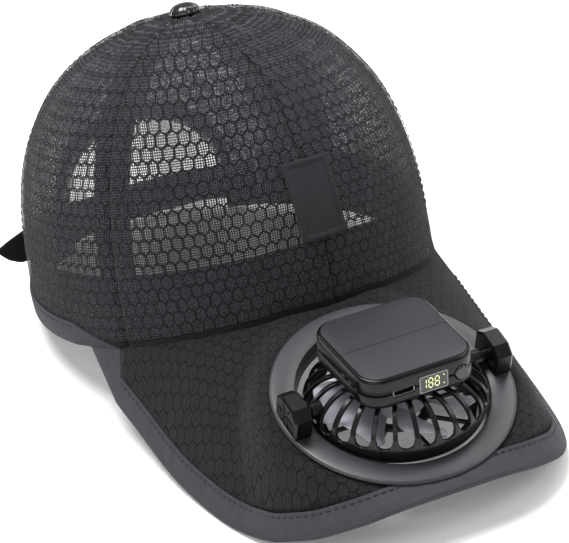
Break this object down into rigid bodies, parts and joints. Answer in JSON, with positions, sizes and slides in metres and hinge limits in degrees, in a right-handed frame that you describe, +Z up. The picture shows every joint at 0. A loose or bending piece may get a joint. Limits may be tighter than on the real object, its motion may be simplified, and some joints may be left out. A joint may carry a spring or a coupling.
{
  "type": "solar fan hat",
  "caption": "Six-panel mesh cap with a curved peak that carries a tilting caged fan under a small case with a solar panel.",
  "frame": {"origin": "middle of the footprint, on the surface that the cap rests on", "axes": "+Z up, the cap faces -Y, the wearer's left is +X"},
  "size_m": [0.165, 0.3026, 0.1376],
  "materials": {
    "mesh_cloth": "matt hexagon mesh",
    "dark_cloth": "matt",
    "grey_binding": "matt twill",
    "black_plastic": "satin",
    "grey_plastic": "satin",
    "blade_plastic": "satin",
    "solar_glass": "glossy",
    "display_glass": "glossy",
    "socket_metal": "satin",
    "gloss_button": "glossy"
  },
  "bodies": {
    "root": {"front_panel_left": "mesh_cloth", "side_panel_left": "mesh_cloth", "back_panel_left": "mesh_cloth", "front_panel_right": "mesh_cloth", "side_panel_right": "mesh_cloth", "back_panel_right": "mesh_cloth", "front_seam_tape": "dark_cloth", "back_seam_tape": "dark_cloth", "left_front_seam_tape": "dark_cloth", "left_back_seam_tape": "dark_cloth", "right_front_seam_tape": "dark_cloth", "right_back_seam_tape": "dark_cloth", "sweatband": "dark_cloth", "top_button": "gloss_button", "edge_binding": "grey_binding", "peak": "mesh_cloth", "opening_tape": "dark_cloth", "strap_outer": "dark_cloth", "strap_inner": "dark_cloth", "front_patch": "dark_cloth", "fan_ring": "grey_plastic", "under_ring": "grey_plastic", "post_left": "black_plastic", "post_right": "black_plastic"},
    "fan_head": {"cage": "black_plastic", "lower_grille": "black_plastic", "case_base": "black_plastic", "case_lid": "black_plastic", "solar_panel": "solar_glass", "display": "display_glass", "usb_socket": "socket_metal", "motor": "black_plastic"},
    "rotor": {"rotor": "blade_plastic"},
    "power_button": {"power_button": "black_plastic"}
  },
  "joints": [
    {"name": "fan_tilt", "type": "hinge", "parent": "root", "child": "fan_head", "pos_m": [0, -0.10318, 0.04301], "axis": [1, 0, 0], "range_deg": [-6, 28]},
    {"name": "rotor_spin", "type": "hinge", "parent": "fan_head", "child": "rotor", "pos_m": [0, -0.10318, 0.04301], "axis": [0, -0.0531, 0.9986], "continuous": true},
    {"name": "power_press", "type": "slide", "parent": "fan_head", "child": "power_button", "axis": [0, 0.9986, 0.0531], "range_m": [0, 0.0006], "stiffness_N_per_m": 800}
  ]
}
